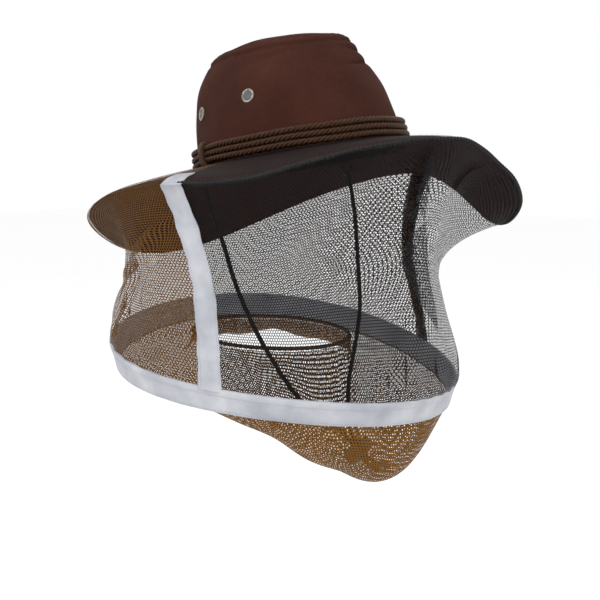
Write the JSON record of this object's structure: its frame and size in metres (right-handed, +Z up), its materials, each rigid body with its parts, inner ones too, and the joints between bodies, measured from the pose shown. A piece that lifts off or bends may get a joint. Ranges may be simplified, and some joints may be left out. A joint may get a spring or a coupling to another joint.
{
  "type": "beekeeping veil hat",
  "caption": "Wide-brim cotton hat with a net veil: fine dark face net, brown rear net, white tapes, a wire hoop, a gathered neck net and a chin cord.",
  "frame": {"origin": "centre of the head opening, level with the brim's root", "axes": "+Z up the wearer's head, the wearer faces -Y, +X is the wearer's left"},
  "size_m": [0.3801, 0.4036, 0.4128],
  "materials": {
    "canvas": "matt cotton canvas",
    "sweatband": "matt cotton",
    "black_net": "fine polyester mesh",
    "brown_net": "polyester mesh",
    "white_tape": "woven twill tape",
    "twisted_cord": "twisted cord",
    "chin_cord": "braided cord",
    "nickel": "worn nickel",
    "gauze": "fine wire gauze",
    "spring_steel": "drawn wire",
    "elastic": "covered elastic",
    "lock_plastic": "moulded"
  },
  "bodies": {
    "hat": {"brim_binding": "canvas", "brim_lower": "canvas", "brim_upper": "canvas", "chin_cord_left": "chin_cord", "chin_cord_right": "chin_cord", "cord_knot_left": "chin_cord", "cord_knot_right": "chin_cord", "cord_tab_left": "chin_cord", "cord_tab_right": "chin_cord", "crown_side_left": "canvas", "crown_side_right": "canvas", "crown_top": "canvas", "eyelet_gauze_left_front": "gauze", "eyelet_gauze_left_rear": "gauze", "eyelet_gauze_right_front": "gauze", "eyelet_gauze_right_rear": "gauze", "eyelet_left_front": "nickel", "eyelet_left_rear": "nickel", "eyelet_right_front": "nickel", "eyelet_right_rear": "nickel", "front_net": "black_net", "front_net_over_brim": "black_net", "hat_cord_lower": "twisted_cord", "hat_cord_middle": "twisted_cord", "hat_cord_upper": "twisted_cord", "hat_cord_wrap": "twisted_cord", "hoop_casing_front": "white_tape", "hoop_casing_rear": "white_tape", "hoop_wire_front": "spring_steel", "hoop_wire_rear": "spring_steel", "neck_elastic": "elastic", "neck_net_front": "brown_net", "neck_net_rear": "brown_net", "rear_net": "brown_net", "rear_net_over_brim": "brown_net", "side_tape_left": "white_tape", "side_tape_right": "white_tape", "sweatband": "sweatband", "veil_hem": "elastic"},
    "lock": {"lock_barrel": "lock_plastic", "lock_spring": "spring_steel"},
    "button": {"lock_plunger": "lock_plastic"}
  },
  "joints": [
    {"name": "lock_slide", "type": "slide", "parent": "hat", "child": "lock", "axis": [0, -0.6801, -0.7331], "range_m": [-0.004, 0.003]},
    {"name": "button_press", "type": "slide", "parent": "lock", "child": "button", "axis": [0, -0.7331, 0.6801], "range_m": [-0.003, 0], "stiffness_N_per_m": 800, "springref_m": 0.002, "deforming": ["lock_spring"]}
  ]
}
